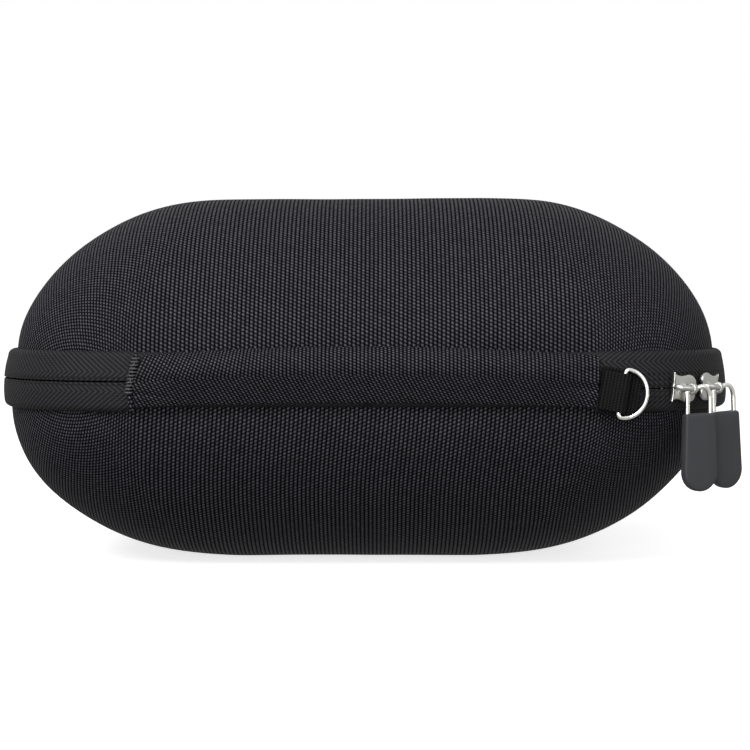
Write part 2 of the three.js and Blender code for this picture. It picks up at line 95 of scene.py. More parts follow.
# Each moulded half: an upright wall, a superelliptic shoulder and a low crown. Proud is how far the
# band stands out from the wall, and lean how far the band's edge tips in.
SIDES = {"base": -1, "lid": 1}
HEIGHTS = {"base": SEAM_Z - BASE_LO.z, "lid": LID_HI.z - SEAM_Z}
PROUD = {"base": HALF_WIDTH - BASE_HI.x, "lid": HALF_WIDTH - LID_HI.x}
SHOULDER_INSETS = {"base": 56, "lid": 54}
LEANS = {"base": 0, "lid": 1.2}
EDGE_RADII = {"base": 2.2, "lid": 2.3}
TUCKS = {"base": 1.5, "lid": 0.4}  # how far the tapes' edges draw in behind the strap
FOLDS = {"base": 0.5, "lid": 1.3}  # height of a soft swelling over the right part of the strap
SETTLE = {"base": 2.6, "lid": -0.3}  # how far the soft half has slumped towards -X
SETTLE_HEIGHT = 38  # the slump grows up to this height from the seam
DENTS = ((48, 0.45), (17, 0.12))  # size and height of the cloth's soft unevenness
FOLD_CENTRE = (38, 17)  # along X and up from the seam
FOLD_SIZE = (26, 7)
FOLD_SLOPE = 0.1
WALL_TOP = 8
SHOULDER_POWER = 1.73
CROWN_RISE = 0.5
CORNER_SHARPENING = 0.35
SKIN_DEPTH = (0, 0.8)
CORE_DEPTH = (1.1, 4.4)
LINING_DEPTH = (4.7, 5.5)

# Zip.
TAPE_THICKNESS = 1.2
SLIT_HALF = 0.18
SLIDER_SLIT_HALF = 0.12  # where the sliders run
LEFT_APEX, RIGHT_APEX = 2.7, 7.8  # where the tape's ribs turn back, from the zip line
RIGHT_CLOTH = 1750  # added to the right tape's cloth coordinate, to tell the two runs apart
SEAM_SAG = 2.1  # the zip line sags at the front right, where the pulls hang
COIL_PITCH = 1.35
COIL_MIDDLE = (2.4, 1.62)  # inset from the band's face, height from the zip line

# Hardware.
SLIDER_CENTRE = joint_place("slider_left_travel")
RING_CENTRE = joint_place("d_ring_swing")
RING_TILT = math.radians(10)
PLATE_FACE = 45.7  # from the corner's centre to a slider's front face
PLATE_THICKNESS = 1.3
BACK_PLATE_INSET = 3.7
PULL_AXIS_Y = -(joint_place("pull_left_swing") - SLIDER_CENTRE).length
WIRE_HALF_WIDTH = 3.95
TAB_HALF_WIDTH = 5.7
TAB_TOP_HALF_WIDTH = 5.1
TAB_LENGTH = 23
TAB_THICKNESS = 3.2
TAB_TOP = -7.4
TAB_CORNER = 1.0
WIRE_RADIUS = 0.7
PULL_TILTS = {"left": 1, "right": 2.5}  # degrees off plumb
PULL_TWISTS = {"left": 10, "right": 18}  # degrees that each pull turns on its barrel
BARREL_MIDDLE = 1.55
BRIDGE_TIPS = (-3.3, 3.6)
BRIDGE_RADIUS = 0.85
SLIDER_LEAN = 7  # degrees, both sliders dip towards the right with the zip line
PULL_OFFSET = 3.6  # the wire loop hangs to one side of the barrel

# Weave sizes.
WEAVE_COLUMN = 1.25
WEAVE_ROW = 1.17
RIB_PITCH, RIB_SLOPE = 1.75, 1.25
TAPE_STITCH, STITCH_ROW = 1.8, 1.6


# ---- Mesh helpers ----


class Shape:
    """Points, faces, texture coordinates and material numbers that grow part by part."""

    def __init__(self):
        self.points = np.zeros((0, 3))
        self.uv = np.zeros((0, 2))
        self.faces = []
        self.paints = []

    def add(self, points, faces, uv=None, paint=0):
        points = np.asarray(points, float).reshape(-1, 3)
        uv = np.zeros((len(points), 2)) if uv is None else np.asarray(uv, float).reshape(-1, 2)
        start = len(self.points)
        self.points = np.vstack([self.points, points])
        self.uv = np.vstack([self.uv, uv])
        self.faces += [tuple(start + i for i in face) for face in faces]
        self.paints += [paint] * len(faces)
        return self

    def add_many(self, parts, paint=0):
        """Adds a list of (points, faces, uv) parts in one go."""
        points, faces, uv, start = [], [], [], 0
        for part_points, part_faces, part_uv in parts:
            points.append(part_points)
            uv.append(part_uv)
            faces += [tuple(start + i for i in face) for face in part_faces]
            start += len(part_points)
        return self.add(np.vstack(points), faces, np.vstack(uv), paint)

    def moved(self, matrix):
        turn = np.array(matrix.to_3x3())
        self.points = self.points @ turn.T + np.array(matrix.translation)
        return self


def grid_faces(rows, columns, wrap_rows=False, wrap_columns=False):
    """Quads over a grid of points stored row by row."""
    faces = []
    for i in range(rows if wrap_rows else rows - 1):
        here, above = i * columns, (i + 1) % rows * columns
        for j in range(columns if wrap_columns else columns - 1):
            k = (j + 1) % columns
            faces.append((here + j, here + k, above + k, above + j))
    return faces


def capped_faces(rows, columns):
    """Faces of a closed tube whose two end rings are filled with one face each."""
    first = tuple(range(columns))
    last = tuple((rows - 1) * columns + j for j in range(columns))
    return grid_faces(rows, columns, wrap_columns=True) + [first, last[::-1]]


def run_along(path):
    """Distance along a path at each of its points."""
    return np.append(0, np.cumsum(np.linalg.norm(np.diff(path, axis=0), axis=1)))


def tangents_along(path, closed=False):
    """Unit tangents at a path's points."""
    if closed:
        ahead = np.roll(path, -1, axis=0) - np.roll(path, 1, axis=0)
    else:
        ahead = np.gradient(path, axis=0)
    return ahead / np.linalg.norm(ahead, axis=1)[:, None]


def upright(flat, y=0.0):
    """Stands an outline of X and Z pairs up at a Y."""
    return np.stack([flat[:, 0], np.full(len(flat), y), flat[:, 1]], axis=1)


def transported_normals(tangents):
    """A normal for each tangent, carried along the path without twisting."""
    seed = np.eye(3)[np.argmin(np.abs(tangents[0]))]
    normal = np.cross(tangents[0], seed)
    normals = []
    for tangent in tangents:
        normal = normal - tangent * (normal @ tangent)
        normal = normal / np.linalg.norm(normal)
        normals.append(normal)
    return np.array(normals)


def tube(path, radius, sides=8, closed=False):
    """A round wire or thread along a path. Open ends are rounded."""
    path = np.asarray(path, float)
    tangents = tangents_along(path, closed)
    normals = transported_normals(tangents)
    radii = np.full(len(path), float(radius))
    if not closed:
        bend = np.radians([75, 45])
        head = path[0] - np.outer(np.sin(bend) * radius, tangents[0])
        tail = path[-1] + np.outer(np.sin(bend[::-1]) * radius, tangents[-1])
        path = np.vstack([head, path, tail])
        radii = np.concatenate([np.cos(bend) * radius, radii, np.cos(bend[::-1]) * radius])
        repeats = [3] + [1] * (len(tangents) - 2) + [3]
        tangents, normals = np.repeat(tangents, repeats, axis=0), np.repeat(normals, repeats, axis=0)
    across = np.cross(tangents, normals)
    turn = 2 * math.pi * np.arange(sides) / sides
    ring = np.cos(turn)[None, :, None] * normals[:, None] + np.sin(turn)[None, :, None] * across[:, None]
    points = path[:, None] + radii[:, None, None] * ring
    uv = np.stack(np.broadcast_arrays(run_along(path)[:, None], radius * turn[None]), axis=-1)
    rows = len(path)
    faces = grid_faces(rows, sides, True, True) if closed else capped_faces(rows, sides)
    return points.reshape(-1, 3), faces, uv.reshape(-1, 2)


def stitch(middle, along, out, length=2.2, radius=0.2, rise=0.22):
    """One sewn stitch: a short thread that dives into the cloth at both ends."""
    middle, along, out = (np.asarray(v, float) for v in (middle, along, out))
    share = np.linspace(-1, 1, 7)[:, None]
    path = middle + along * share * length / 2 + out * (rise - (rise + radius) * share**4)
    return tube(path, radius, 6)


def arc(x, y, radius, start, end, steps):
    angle = np.radians(np.linspace(start, end, steps + 1))
    return np.stack([x + radius * np.cos(angle), y + radius * np.sin(angle)], axis=1)


def bezier(a, b, c, d, steps):
    t = np.linspace(0, 1, steps + 1)[:, None]
    a, b, c, d = (np.asarray(p, float) for p in (a, b, c, d))
    return a * (1 - t) ** 3 + 3 * b * t * (1 - t) ** 2 + 3 * c * t**2 * (1 - t) + d * t**3


def smoothstep(value, low, high):
    t = np.clip((value - low) / (high - low), 0, 1)
    return t * t * (3 - 2 * t)


def uneven(a, b, seed, size, height):
    """Soft seeded unevenness over two coordinates."""
    flat = zip(np.ravel(a), np.ravel(b))
    values = [noise.noise(Vector((p / size, q / size, seed))) for p, q in flat]
    return height * np.array(values).reshape(np.shape(a))


def add_object(name, data):
    """Adds an object to the scene."""
    result = bpy.data.objects.new(name, data)
    bpy.context.scene.collection.objects.link(result)
    return result


def piece(name, shape, materials, stands_for=(), sharp_angle=None):
    """Makes the mesh object of a shape, gives it its materials and hides the CAD nodes it stands for."""
    mesh = bpy.data.meshes.new(name)
    mesh.from_pydata((shape.points * MM).tolist(), [], shape.faces)
    mesh.polygons.foreach_set("material_index", shape.paints)
    work = bmesh.new()
    work.from_mesh(mesh)
    bmesh.ops.recalc_face_normals(work, faces=work.faces)
    work.to_mesh(mesh)
    work.free()
    corners = np.zeros(len(mesh.loops), int)
    mesh.loops.foreach_get("vertex_index", corners)
    layer = mesh.uv_layers.new(name="Cloth")
    layer.data.foreach_set("uv", shape.uv[corners].astype(np.float32).ravel())
    mesh.shade_smooth()
    if sharp_angle:
        mesh.set_sharp_from_angle(angle=math.radians(sharp_angle))
    for material in materials:
        mesh.materials.append(material)
    result = add_object(name, mesh)
    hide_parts(*stands_for)
    return result


def fixed_piece(body, name, shape, materials, node, sharp_angle=None):
    """A piece that stands for one CAD node and moves with one body."""
    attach(piece(name, shape, materials, [node], sharp_angle), body)


# ---- Material helpers ----


class Field:
    """A number worked out by a material's node tree. Plain arithmetic on it adds math nodes."""

    def __init__(self, tree, socket):
        self.tree, self.socket = tree, socket

    def math(self, operation, *others):
        node = self.tree.nodes.new("ShaderNodeMath")
        node.operation = operation
        for slot, value in zip(node.inputs, (self, *others)):
            if isinstance(value, Field):
                self.tree.links.new(value.socket, slot)
            else:
                slot.default_value = value
        return Field(self.tree, node.outputs[0])

    __add__ = partialmethod(math, "ADD")
    __sub__ = partialmethod(math, "SUBTRACT")
    __mul__ = partialmethod(math, "MULTIPLY")
    __truediv__ = partialmethod(math, "DIVIDE")
    __pow__ = partialmethod(math, "POWER")
    floor = partialmethod(math, "FLOOR")

    def wave(self):
        """1 at the middle of each unit step and 0 at its ends."""
        return (self.math("FRACT") * math.pi).math("SINE")


class Paint:
    """A material being built: its coordinates, textures and shader."""

    def __init__(self, name):
        self.material = bpy.data.materials.new(name)
        self.material.use_nodes = True
        self.tree = self.material.node_tree
        self.shader = self.tree.nodes["Principled BSDF"]
        coordinates = self.node("TexCoord")
        split = self.node("SeparateXYZ", Vector=coordinates.outputs["UV"])
        self.u = Field(self.tree, split.outputs[0])
        self.v = Field(self.tree, split.outputs[1])
        self.place = coordinates.outputs["Object"]

    def feed(self, node, **values):
        """Sets or links a node's inputs, named with _ for each space."""
        for name, value in values.items():
            slot = node.inputs[name.replace("_", " ")]
            if isinstance(value, Field):
                value = value.socket
            if isinstance(value, bpy.types.NodeSocket):
                self.tree.links.new(value, slot)
            else:
                slot.default_value = value
        return node

    def node(self, kind, **values):
        return self.feed(self.tree.nodes.new(f"ShaderNode{kind}"), **values)

    def cloud(self, size, detail=3.0, stretch=(1, 1, 1)):
        """Soft noise from 0 to 1 over the object, with blotches of the given size in millimetres."""
        scale = [s / (size * MM) for s in stretch]
        mapping = self.node("Mapping", Scale=scale, Vector=self.place)
        texture = self.node("TexNoise", Scale=1, Detail=detail, Vector=mapping.outputs[0])
        return Field(self.tree, texture.outputs["Fac"])

    def speckle(self, a, b):
        """A random number from 0 to 1 for each pair of whole numbers."""
        join = self.feed(self.node("CombineXYZ"), X=a.floor(), Y=b.floor())
        texture = self.node("TexWhiteNoise", Vector=join.outputs[0])
        return Field(self.tree, texture.outputs["Value"])

    def color(self, share, dark, light):
        """Blends the base colour from dark to light."""
        mix = self.node("Mix")
        mix.data_type = "RGBA"
        self.tree.links.new(share.socket, mix.inputs["Factor"])
        mix.inputs["A"].default_value = (*dark, 1)
        mix.inputs["B"].default_value = (*light, 1)
        self.feed(self.shader, Base_Color=mix.outputs["Result"])

    def bump(self, height, depth, strength=1.0):
        """Relief of the given depth in millimetres."""
        node = self.node("Bump", Distance=depth * MM, Strength=strength, Height=height)
        self.feed(self.shader, Normal=node.outputs[0])

    def finish(self, **values):
        """Sets the shader's remaining inputs and gives the material."""
        self.feed(self.shader, **values)
        return self.material


# ---- Materials ----


def ballistic_weave():
    """Woven nylon: columns of thread that break into short slanted floats, half a step apart."""
    paint = Paint("ballistic_weave")
    across = paint.u / WEAVE_COLUMN
    thread = across.wave()
    lean = (across.math("FRACT") - 0.5) * 0.35
    along = paint.v / WEAVE_ROW + across.floor() * 0.5 + lean
    bead = along.wave()
    height = thread * (bead * 0.8 + 0.2)
    tone = paint.speckle(across, along) * 0.5 + 0.75
    patch = paint.cloud(35) * 0.3 + 0.85
    # The colour follows the relief: painted shade in the gaps between floats and a painted highlight on
    # their crowns, over the threads' own random tone.
    paint.color((height**2.3) * tone * patch, (0.0022, 0.0021, 0.0025), (0.072, 0.070, 0.082))
    paint.bump(height, 0.26)
    return paint.finish(Roughness=0.55, Specular_IOR_Level=height**2 * 0.2)


def herringbone_tape():
    """Zip tape: diagonal ribs that turn back at a line along the tape, and rows of coil stitches."""
    paint = Paint("herringbone_tape")
    rib = ((paint.u - paint.v.math("ABSOLUTE") * RIB_SLOPE) / RIB_PITCH).wave()
    grain = (paint.u / 0.45).wave() * (paint.v / 0.5).wave()
    right = paint.u.math("GREATER_THAN", RIGHT_CLOTH / 2)
    along = paint.v + LEFT_APEX + right * (RIGHT_APEX - LEFT_APEX)
    sewn = along.math("LESS_THAN", right * (2 * STITCH_ROW) + STITCH_ROW)
    stitches = (paint.u / TAPE_STITCH).wave() ** 3 * (along / STITCH_ROW).wave() ** 2 * sewn
    height = rib * 0.7 + grain * 0.3
    wear = paint.cloud(12) * 0.3 + 0.85
    tone = (height**2) * wear * (stitches * -0.85 + 1)
    paint.color(tone, (0.0025, 0.0025, 0.003), (0.033, 0.033, 0.036))
    paint.bump(height - stitches, 0.2)
    return paint.finish(Roughness=0.65, Specular_IOR_Level=0.12)


def ribbed_webbing():
    """Narrow webbing with upright ribs."""
    paint = Paint("ribbed_webbing")
    rib = (paint.u / 1.0).wave()
    pick = ((paint.v / 0.8) + (paint.u / 1.0).floor() * 0.5).wave()
    height = rib * (pick * 0.5 + 0.5)
    paint.color(height**1.4, (0.0015, 0.0015, 0.0015), (0.011, 0.011, 0.0115))
    paint.bump(height, 0.3)
    return paint.finish(Roughness=0.75, Specular_IOR_Level=0.1)


def velour_lining():
    """Short brushed pile."""
    paint = Paint("velour_lining")
    pile = paint.cloud(0.6, 4)
    nap = paint.cloud(22)
    paint.color(pile * 0.6 + nap * 0.4, (0.004, 0.004, 0.005), (0.016, 0.016, 0.019))
    paint.bump(pile, 0.25, 0.7)
    return paint.finish(Roughness=0.95, Sheen_Weight=0.15, Sheen_Roughness=0.5)


def moulded_foam():
    """Closed cell foam with fine pores."""
    paint = Paint("moulded_foam")
    pores = paint.cloud(0.8, 2)
    paint.color(pores, (0.008, 0.008, 0.008), (0.018, 0.018, 0.018))
    paint.bump(pores, 0.15)
    return paint.finish(Roughness=0.9)


def nylon_coil():
    """Extruded nylon with slight gloss."""
    paint = Paint("nylon_coil")
    paint.color(paint.cloud(3), (0.008, 0.008, 0.009), (0.018, 0.018, 0.019))
    return paint.finish(Roughness=0.38)


def sewing_thread():
    """Twisted polyester thread."""
    paint = Paint("sewing_thread")
    twist = ((paint.u / 0.5) + (paint.v / 0.6)).wave()
    paint.color(twist, (0.018, 0.018, 0.02), (0.12, 0.12, 0.127))
    paint.bump(twist, 0.08)
    return paint.finish(Roughness=0.5)


def knitted_net():
    """Knitted net yarn and gathered elastic."""
    paint = Paint("knitted_net")
    yarn = ((paint.u / 0.9).wave() * 0.6) + paint.cloud(0.5) * 0.4
    paint.color(yarn, (0.010, 0.010, 0.011), (0.035, 0.035, 0.038))
    paint.bump(yarn, 0.12)
    return paint.finish(Roughness=0.8)


def satin_nickel():
    """Plated zinc with fine tumbling marks and slightly warm worn spots."""
    paint = Paint("satin_nickel")
    marks = paint.cloud(0.35, 4, (1, 1, 3))
    wear = paint.cloud(2.5)
    paint.color(wear, (0.46, 0.46, 0.43), (0.58, 0.58, 0.55))
    paint.bump(marks, 0.012)
    return paint.finish(Metallic=1.0, Roughness=marks * 0.15 + 0.24)


def bright_nickel():
    """Polished plated wire."""
    paint = Paint("bright_nickel")
    marks = paint.cloud(0.5, 4, (1, 1, 4))
    paint.color(paint.cloud(2), (0.82, 0.80, 0.76), (0.95, 0.94, 0.91))
    paint.bump(marks, 0.006)
    return paint.finish(Metallic=1.0, Roughness=marks * 0.1 + 0.1)


def soft_rubber():
    """Moulded soft rubber: matt, faintly grained, with slight handling marks."""
    paint = Paint("soft_rubber")
    grain = paint.cloud(0.25, 3)
    smudge = paint.cloud(7, 2)
    paint.color(smudge * 0.7 + grain * 0.3, (0.028, 0.0288, 0.032), (0.043, 0.044, 0.0485))
    paint.bump(grain, 0.03)
    return paint.finish(Roughness=smudge * 0.15 + 0.5, Specular_IOR_Level=0.3)


WEAVE = ballistic_weave()
TAPE = herringbone_tape()
WEBBING = ribbed_webbing()
VELOUR = velour_lining()
FOAM = moulded_foam()
COIL = nylon_coil()
THREAD = sewing_thread()
NET = knitted_net()
SATIN = satin_nickel()
BRIGHT = bright_nickel()
RUBBER = soft_rubber()


# ---- Plan of the case ----


def plan_track():
    """Distances round the plan from the middle of the front, with each corner's share and angle there."""
    half_x = HALF_WIDTH - CORNER_RADIUS
    half_y = HALF_DEPTH - CORNER_RADIUS
    quarter = CORNER_RADIUS * math.pi / 2
    rows = [(0, 0, -1, -90)]
    for length, u, v, angle in (
        (half_x, 1, -1, -90), (quarter, 1, -1, 0), (2 * half_y, 1, 1, 0),
        (quarter, 1, 1, 90), (2 * half_x, -1, 1, 90), (quarter, -1, 1, 180),
        (2 * half_y, -1, -1, 180), (quarter, -1, -1, 270), (half_x, 0, -1, 270),
    ):
        rows.append((rows[-1][0] + length, u, v, angle))
    return np.array(rows, float).T


TRACK = plan_track()
PLAN_LENGTH = TRACK[0][-1]


class Stations:
    """Places round the plan. s is the distance from the middle of the front, negative to the left."""

    def __init__(self, s):
        self.s = np.asarray(s, float)
        self.u, self.v, degrees = (np.interp(self.s % PLAN_LENGTH, TRACK[0], row) for row in TRACK[1:])
        self.out_x = np.cos(np.radians(degrees))
        self.out_y = np.sin(np.radians(degrees))

    def xy(self, offset, inset=0.0):
        """Plan points at an even offset inside the loop that a shoulder inset draws in."""
        radius = CORNER_RADIUS - CORNER_SHARPENING * inset
        x = self.u * (HALF_WIDTH - inset - radius) + self.out_x * (radius - offset)
        y = self.v * (HALF_DEPTH - inset - radius) + self.out_y * (radius - offset)
        return x, y

    def sag(self):
        """How far the zip line hangs below the seam plane, as a share of its full sag."""
        front = smoothstep(self.u, -0.6, 0.6)
        side = (1 - self.v) / 2
        return np.where(self.v < -0.9999, front, np.where(self.u > 0.9999, side, 0))


# ---- Moulded shells ----


def shell_profile(body, spacing):
    """A half's profile at even steps from rim to crown.

    Gives inset, height, the outward and upward parts of the normal, and how much longer the cloth
    is than its inward run.
    """
    angle = np.linspace(0, math.pi / 2, 500)
    rise = HEIGHTS[body] - WALL_TOP - CROWN_RISE
    inset = np.append(0, SHOULDER_INSETS[body] * (1 - np.cos(angle) ** (2 / SHOULDER_POWER)))
    height = np.append(RIM_HEIGHT, WALL_TOP + rise * np.sin(angle) ** (2 / SHOULDER_POWER))
    run = np.append(0, np.cumsum(np.hypot(np.diff(inset), np.diff(height))))
    steps = np.linspace(0, run[-1], round(run[-1] / spacing))
    inset, height = np.interp(steps, run, inset), np.interp(steps, run, height)
    slope_in, slope_up = np.gradient(inset), np.gradient(height)
    length = np.hypot(slope_in, slope_up)
    slack = (run[-1] - steps) - (SHOULDER_INSETS[body] - inset)
    return [a[:, None] for a in (inset, height, slope_up / length, slope_in / length, slack)]


def shell_surface(body, depth, spacing):
    """Rows of points from rim to crown of one surface, with the moulded cloth's own coordinates."""
    count = round(PLAN_LENGTH / spacing)
    ring = Stations(np.arange(count) * PLAN_LENGTH / count)
    inset, height, out, up, slack = shell_profile(body, spacing)
    side = SIDES[body]
    seed = 3.7 + side
    x, y = ring.xy(PROUD[body] + depth * out, inset)
    z = height - depth * up + 0 * x
    u, v = x + ring.out_x * slack, y + ring.out_y * slack
    fade = smoothstep(height, WALL_TOP, WALL_TOP + 10)
    dent = fade * sum(uneven(u, v, seed, size, rise) for size, rise in DENTS)
    along = u - FOLD_CENTRE[0]
    above = height - FOLD_CENTRE[1] - FOLD_SLOPE * along
    fold = FOLDS[body] * np.exp(-(along / FOLD_SIZE[0]) ** 2 - (above / FOLD_SIZE[1]) ** 2)
    dent = dent + fold * (v < 0)
    x, y = x + dent * out * ring.out_x, y + dent * out * ring.out_y
    x = x - SETTLE[body] * smoothstep(height, 0, SETTLE_HEIGHT)
    z = z + dent * up

    shrink = np.linspace(1, 0.05, 12)[1:, None]
    crown_x, crown_y = x[-1] * shrink, y[-1] * shrink
    crown_z = z[-1] + CROWN_RISE * (1 - shrink**2)
    x, y, z = (np.vstack(pair) for pair in ((x, crown_x), (y, crown_y), (z, crown_z)))
    u, v = np.vstack([u, crown_x]), np.vstack([v, crown_y])
    return np.stack([x, y, SEAM_Z + side * z], axis=-1), np.stack([u, v], axis=-1)


def shell_layer(body, depths, spacing):
    """One closed layer of a shell half, between two depths below its outer surface."""
    outer, outer_uv = shell_surface(body, depths[0], spacing)
    inner, inner_uv = shell_surface(body, depths[1], spacing)
    points = np.vstack([outer[::-1], inner])
    uv = np.vstack([outer_uv[::-1], inner_uv])
    return Shape().add(points, capped_faces(*points.shape[:2]), uv)


def build_shell(body):
    layers = (
        ("outer_fabric", SKIN_DEPTH, 2.4, WEAVE, "outer_fabric", "skin"),
        ("foam_shell", CORE_DEPTH, 5.0, FOAM, "shell_foam", "core"),
        ("lining", LINING_DEPTH, 3.0, VELOUR, "lining_fabric", "lining"),
    )
    for name, depths, spacing, material, slot, node in layers:
        shape = shell_layer(body, depths, spacing)
        fixed_piece(body, f"{body}_{name}", shape, [material], f"{body}_{node}", 50)


# ---- Bands that follow the rim ----

SEAM_STITCH = 3.4  # from one stitch to the next
BINDING_RADIUS = 0.6
COIL_RADIUS = (0.42, 0.78)  # across and up
COIL_WIRE = 0.18
TAPE_STEP = 2.2


def rim_binding(body):
    """Bias binding that caps the edges of the three layers, sewn down along its inner edge."""
    side, outer = SIDES[body], PROUD[body]
    inner = outer + LINING_DEPTH[1]
    top, low = RIM_HEIGHT + 0.5, RIM_HEIGHT - 1.05
    r = BINDING_RADIUS
    outline = np.vstack([
        [(outer + 0.05, top)], arc(outer + 0.05 + r, low + r, r, 180, 270, 4),
        arc(inner - 0.05 - r, low + r, r, 270, 360, 4), [(inner - 0.05, top)],
    ])
    count = round(PLAN_LENGTH / 3)
    ring = Stations(np.arange(count) * PLAN_LENGTH / count)
    rows = [
        np.stack([*ring.xy(inset), np.full(count, SEAM_Z + side * height)], axis=1)
        for inset, height in outline
    ]
    uv = [np.stack([ring.s, np.full(count, r)], axis=1) for r in run_along(outline)]
    shape = Shape().add(rows, grid_faces(len(rows), count, True, True), uv)

    places = Stations(np.arange(0, PLAN_LENGTH, SEAM_STITCH))
    x, y = places.xy(inner - 1.5)
    shape.add_many([
        stitch((px, py, SEAM_Z + side * low), (-ny, nx, 0), (0, 0, -side))
        for px, py, nx, ny in zip(x, y, places.out_x, places.out_y)
    ], 1)
    node = f"{body}_rim_binding"
    fixed_piece(body, f"{body}_binding", shape, [WEBBING, THREAD], node, 60)


def tape_rows(ring, body):
    """Section points of a zip tape at every station: rows of x, y, z and cloth coordinates."""
    side, lean, edge_radius = SIDES[body], LEANS[body], EDGE_RADII[body]
    sag = ring.sag()
    slit = SEAM_Z - SEAM_SAG * sag + side * (SLIT_HALF + (SLIDER_SLIT_HALF - SLIT_HALF) * sag)
    behind_strap = smoothstep(STRAP_HI.x + 4 - np.abs(ring.s), 0, 8)
    edge = SEAM_Z + side * (BAND_HALF_HEIGHT - TUCKS[body] * behind_strap)
    apex = np.where(ring.s < 0, LEFT_APEX, RIGHT_APEX)
    flange = PROUD[body] + 0.1
    rows, uvs = [], []

    def put(inset, height, along):
        x, y = ring.xy(inset)
        rows.append(np.stack([x, y, height], axis=1))
        uvs.append(np.stack([np.abs(ring.s) + RIGHT_CLOTH * (ring.s > 0), along - apex], axis=1))

    put(TAPE_THICKNESS, slit, 0 * slit - 0.8)
    put(0.35, slit, 0 * slit - 0.1)
    put(0.08, slit + side * 0.12, 0 * slit + 0.1)
    low, high = slit + side * 0.35, edge - side * edge_radius
    for share in np.linspace(0, 1, 9):
        height = low + (high - low) * share
        put(lean * share - 0.16 * math.sin(math.pi * share), height, np.abs(height - slit))
    for turn in np.radians([18, 36, 54, 72, 90]):
        height = edge - side * edge_radius * (1 - math.sin(turn))
        put(lean + edge_radius * (1 - math.cos(turn)), height, np.abs(high - slit) + edge_radius * turn)
    top = np.abs(high - slit) + edge_radius * math.pi / 2
    put(flange, edge - side * 0.05, top + flange - edge_radius)
    put(flange, edge - side * TAPE_THICKNESS, top + flange - edge_radius)
    inner = lean * 0.9 + TAPE_THICKNESS
    put(inner + 0.15, edge - side * TAPE_THICKNESS, top)
    put(inner, edge - side * (TAPE_THICKNESS + 0.6), top - 1)
    return np.array(rows), np.array(uvs)


def zip_tape(body):
    reach = PLAN_LENGTH / 2 - SPINE_HI.x - 0.6
    ring = Stations(np.linspace(-reach, reach, round(2 * reach / TAPE_STEP)))
    rows, uvs = tape_rows(ring, body)
    points, uv = rows.transpose(1, 0, 2), uvs.transpose(1, 0, 2)
    shape = Shape().add(points, capped_faces(*points.shape[:2]), uv)
    fixed_piece(body, f"{body}_tape", shape, [TAPE], f"{body}_zip_tape", 60)


def zip_coil(body):
    """The coil is one nylon wire that winds along the tape."""
    side = SIDES[body]
    reach = PLAN_LENGTH / 2 - SPINE_HI.x - 1.2
    turns = 2 * reach / COIL_PITCH
    ring = Stations(np.linspace(-reach, reach, round(turns * 9)))
    phase = 2 * math.pi * ring.s / COIL_PITCH
    x, y = ring.xy(COIL_MIDDLE[0] + COIL_RADIUS[0] * np.cos(phase))
    z = SEAM_Z - SEAM_SAG * ring.sag() + side * (COIL_MIDDLE[1] + COIL_RADIUS[1] * np.sin(phase))
    shape = Shape().add(*tube(np.stack([x, y, z], axis=1), COIL_WIRE, 5))
    fixed_piece(body, f"{body}_coil", shape, [COIL], f"{body}_zip_coil")


# ---- Spine ----

SPINE_EDGE_RADIUS = 1.5
SPINE_BULGE = 0.2
SPINE_ROW = 6.6  # of both stitch rows, above and below the seam


def spine_outline():
    """The spine sheet's section in Y and Z: an upright face whose edges turn in to both shells."""
    r = SPINE_EDGE_RADIUS
    face, low, high = HALF_DEPTH, SEAM_Z - BAND_HALF_HEIGHT, SEAM_Z + BAND_HALF_HEIGHT
    inner = face - TAPE_THICKNESS
    flange_low, flange_high = face - PROUD["base"] - 0.1, face - PROUD["lid"] - 0.1
    level = np.linspace(low + r, high - r, 33)[1:-1]
    bulge = SPINE_BULGE * np.sin(math.pi * (level - low) / (high - low))
    back = np.linspace(high - 2, low + 2, 33)
    return np.vstack([
        [(flange_low, low)], arc(face - r, low + r, r, 270, 360, 5),
        np.stack([face + bulge, level], axis=1),
        arc(face - r, high - r, r, 0, 90, 5), [(flange_high, high)], [(flange_high, high - TAPE_THICKNESS)],
        np.stack([np.full_like(back, inner), back], axis=1), [(flange_low, low + TAPE_THICKNESS)],
    ])


def build_spine():
    """One sheet of shell fabric joins the halves at the back."""
    outline = spine_outline()
    reach = SPINE_HI.x + 0.3
    xs = np.linspace(-reach, reach, 60)
    points = [[(x, y, z) for y, z in outline] for x in xs]
    uv = [[(x, r) for r in run_along(outline)] for x in xs]
    shape = Shape().add(points, capped_faces(len(xs), len(outline)), uv)
    shape.add_many([
        stitch((x, HALF_DEPTH + 0.08, SEAM_Z + height), (1, 0, 0), (0, 1, 0))
        for x in np.arange(-reach + 3, reach - 2, SEAM_STITCH)
        for height in (-SPINE_ROW, SPINE_ROW)
    ], 1)
    nodes = ["base_spine_strip", "lid_spine_strip"]
    sheet = piece("fabric_spine", shape, [WEAVE, THREAD], nodes, 60)
    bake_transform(sheet)


# ---- Strap handle ----

STRAP_REACH = STRAP_HI.x
STRAP_BACK = STRAP_HI.y
STRAP_END_Z = STRAP_LO.z + 8.9
STRAP_HALF_HEIGHT = 7.5
STRAP_SWELL = 0.65  # extra half height at mid length
STRAP_BOW = 1.9
STRAP_THICKNESS = 4.4
STRAP_END_THICKNESS = 2.2
COVER_WALL = 0.8
CREASE = 0.25  # how far the ridge sits below half height
LOWER_FULLNESS, UPPER_FULLNESS = 1.25, 2.4  # powers that shape the pad below and above its ridge
END_GATHER = 0.28
STRAP_FOLDS = (11, 0.16)  # size and height
LEFT_SLANT = 3.0  # how far the upper left corner runs further in
STRAP_CLOTH = (1.12, 1.25)  # the strap's weave is finer than the shells' by these
STRAP_SHEAR = (-0.45, 0.55)  # slant of the weave above and below the ridge
RIGHT_OVERRUN = 0.8


